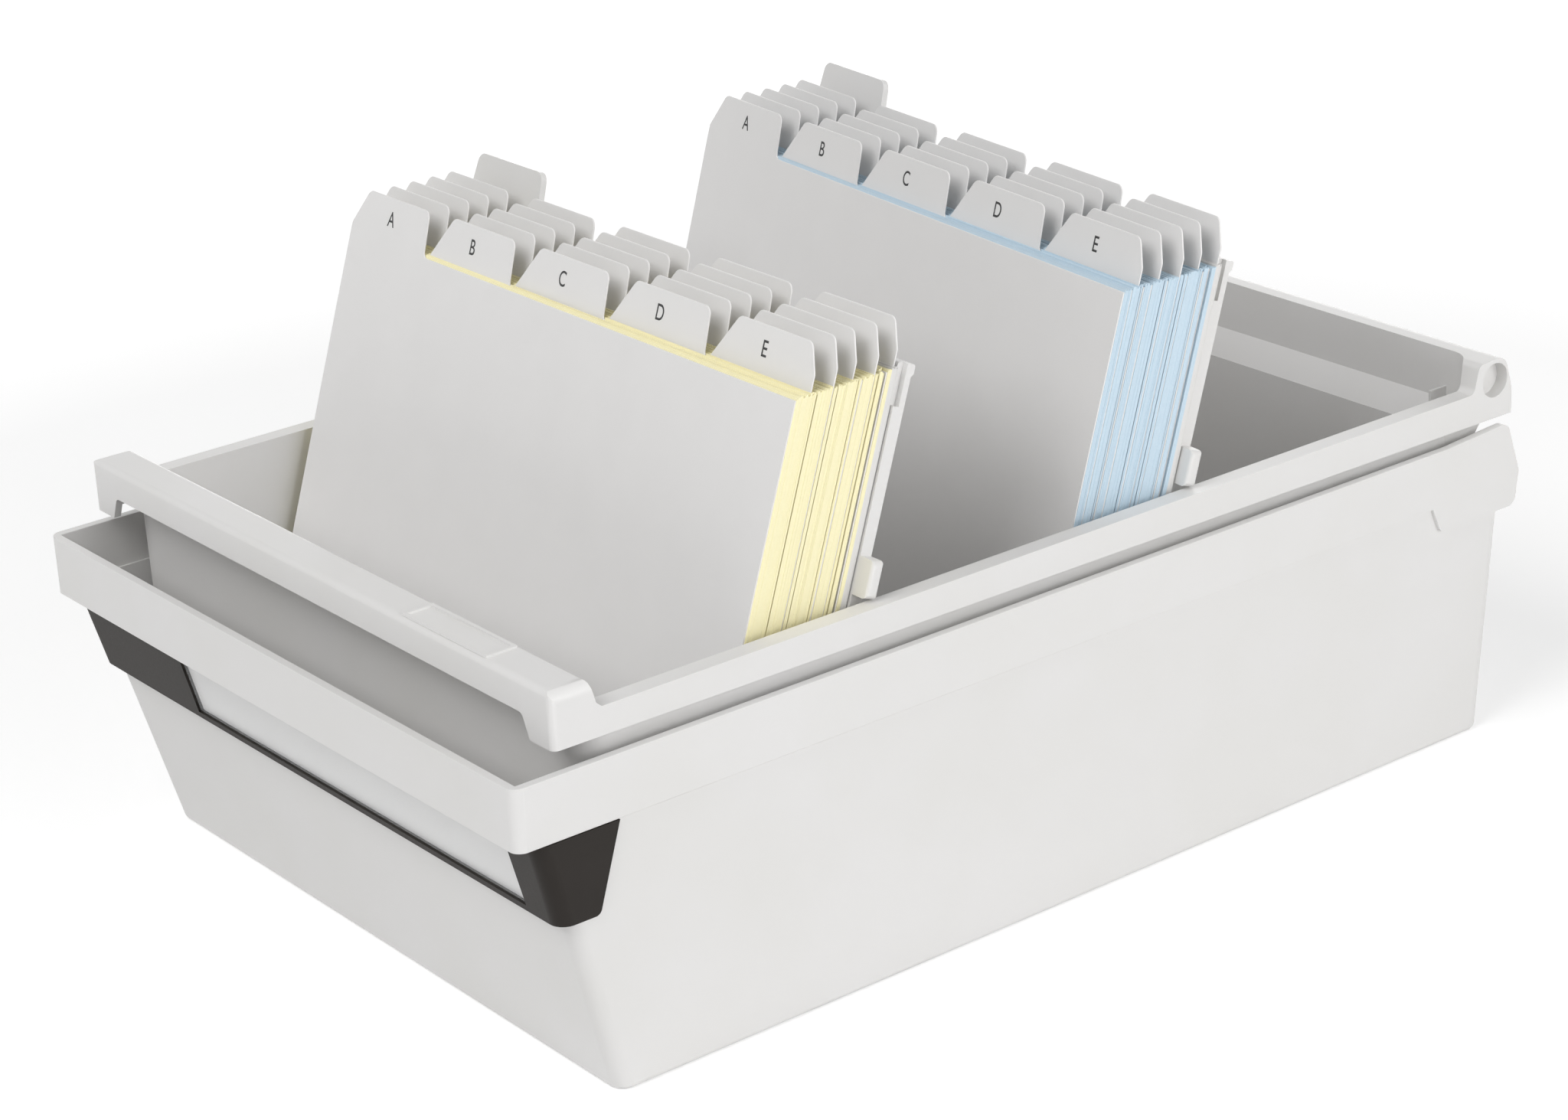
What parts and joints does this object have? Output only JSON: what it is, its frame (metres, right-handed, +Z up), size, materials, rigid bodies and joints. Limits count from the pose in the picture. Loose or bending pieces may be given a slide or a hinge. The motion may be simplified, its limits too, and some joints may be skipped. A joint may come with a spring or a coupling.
{
  "type": "index card drawer",
  "caption": "Lift-out trough for A5 landscape index cards in a deep shell, with a pull bar, lettered guide rows, cards and leaning support plates.",
  "frame": {"origin": "on the surface that the shell stands on, under the middle of the drawer's length and width", "axes": "+Z up; +Y from the pull bar and label to the back; +X to the right seen from the front"},
  "size_m": [0.2358, 0.3606, 0.1877],
  "materials": {
    "grey_plastic": "satin moulded",
    "black_plastic": "semi-gloss moulded",
    "label_card": "smooth card",
    "clear_cover": "clear film",
    "guide_plastic": "satin sheet",
    "yellow_card": "uncoated card",
    "blue_card": "uncoated card"
  },
  "bodies": {
    "shell": {"outer_shell": "grey_plastic", "label_frame": "black_plastic", "label_strip": "label_card", "label_cover": "clear_cover"},
    "trough": {"trough": "grey_plastic"},
    "front_support": {"front_set_support_plate": "grey_plastic"},
    "rear_support": {"rear_set_support_plate": "grey_plastic"},
    "front_row_a_e": {"front_set_guides_a_e": "guide_plastic", "front_set_cards_a_e": "yellow_card"},
    "front_row_f_j": {"front_set_guides_f_j": "guide_plastic", "front_set_cards_f_j": "yellow_card"},
    "front_row_k_o": {"front_set_guides_k_o": "guide_plastic", "front_set_cards_k_o": "yellow_card"},
    "front_row_p_t": {"front_set_guides_p_t": "guide_plastic", "front_set_cards_p_t": "yellow_card"},
    "front_row_u_z": {"front_set_guides_u_z": "guide_plastic", "front_set_cards_u_z": "yellow_card"},
    "rear_row_a_e": {"rear_set_guides_a_e": "guide_plastic", "rear_set_cards_a_e": "blue_card"},
    "rear_row_f_j": {"rear_set_guides_f_j": "guide_plastic", "rear_set_cards_f_j": "blue_card"},
    "rear_row_k_o": {"rear_set_guides_k_o": "guide_plastic", "rear_set_cards_k_o": "blue_card"},
    "rear_row_p_t": {"rear_set_guides_p_t": "guide_plastic", "rear_set_cards_p_t": "blue_card"},
    "rear_row_u_z": {"rear_set_guides_u_z": "guide_plastic", "rear_set_cards_u_z": "blue_card"}
  },
  "joints": [
    {"name": "trough_lift", "type": "slide", "parent": "shell", "child": "trough", "axis": [0, 0, 1], "range_m": [0, 0.09]},
    {"name": "front_support_slide", "type": "slide", "parent": "trough", "child": "front_support", "axis": [0, 1, 0], "range_m": [-0.008, 0.018]},
    {"name": "rear_support_slide", "type": "slide", "parent": "trough", "child": "rear_support", "axis": [0, 1, 0], "range_m": [-0.005, 0.06]},
    {"name": "front_row_a_e_tilt", "type": "hinge", "parent": "front_support", "child": "front_row_a_e", "pos_m": [0, -0.1267, 0.0266], "axis": [1, 0, 0], "range_deg": [0, 28]},
    {"name": "front_row_f_j_tilt", "type": "hinge", "parent": "front_support", "child": "front_row_f_j", "pos_m": [0, -0.1199, 0.0266], "axis": [1, 0, 0], "range_deg": [0, 22.5]},
    {"name": "front_row_k_o_tilt", "type": "hinge", "parent": "front_support", "child": "front_row_k_o", "pos_m": [0, -0.1131, 0.0266], "axis": [1, 0, 0], "range_deg": [0, 16.9]},
    {"name": "front_row_p_t_tilt", "type": "hinge", "parent": "front_support", "child": "front_row_p_t", "pos_m": [0, -0.1063, 0.0266], "axis": [1, 0, 0], "range_deg": [0, 11.3]},
    {"name": "front_row_u_z_tilt", "type": "hinge", "parent": "front_support", "child": "front_row_u_z", "pos_m": [0, -0.0995, 0.0266], "axis": [1, 0, 0], "range_deg": [0, 5.7]},
    {"name": "rear_row_a_e_tilt", "type": "hinge", "parent": "rear_support", "child": "rear_row_a_e", "pos_m": [-0.00288, 0.00083, 0.0266], "axis": [0.9962, -0.0872, 0], "range_deg": [0, 18]},
    {"name": "rear_row_f_j_tilt", "type": "hinge", "parent": "rear_support", "child": "rear_row_f_j", "pos_m": [-0.00228, 0.0076, 0.0266], "axis": [0.9962, -0.0872, 0], "range_deg": [0, 14.5]},
    {"name": "rear_row_k_o_tilt", "type": "hinge", "parent": "rear_support", "child": "rear_row_k_o", "pos_m": [-0.00169, 0.01437, 0.0266], "axis": [0.9962, -0.0872, 0], "range_deg": [0, 10.9]},
    {"name": "rear_row_p_t_tilt", "type": "hinge", "parent": "rear_support", "child": "rear_row_p_t", "pos_m": [-0.0011, 0.02115, 0.0266], "axis": [0.9962, -0.0872, 0], "range_deg": [0, 7.3]},
    {"name": "rear_row_u_z_tilt", "type": "hinge", "parent": "rear_support", "child": "rear_row_u_z", "pos_m": [-0.00051, 0.02792, 0.0266], "axis": [0.9962, -0.0872, 0], "range_deg": [0, 3.7]}
  ],
  "couplings": [
    {"joint": "front_row_f_j_tilt", "follows": "front_row_a_e_tilt", "ratio": 0.8},
    {"joint": "front_row_k_o_tilt", "follows": "front_row_a_e_tilt", "ratio": 0.6},
    {"joint": "front_row_p_t_tilt", "follows": "front_row_a_e_tilt", "ratio": 0.4},
    {"joint": "front_row_u_z_tilt", "follows": "front_row_a_e_tilt", "ratio": 0.2},
    {"joint": "rear_row_f_j_tilt", "follows": "rear_row_a_e_tilt", "ratio": 0.8},
    {"joint": "rear_row_k_o_tilt", "follows": "rear_row_a_e_tilt", "ratio": 0.6},
    {"joint": "rear_row_p_t_tilt", "follows": "rear_row_a_e_tilt", "ratio": 0.4},
    {"joint": "rear_row_u_z_tilt", "follows": "rear_row_a_e_tilt", "ratio": 0.2}
  ]
}
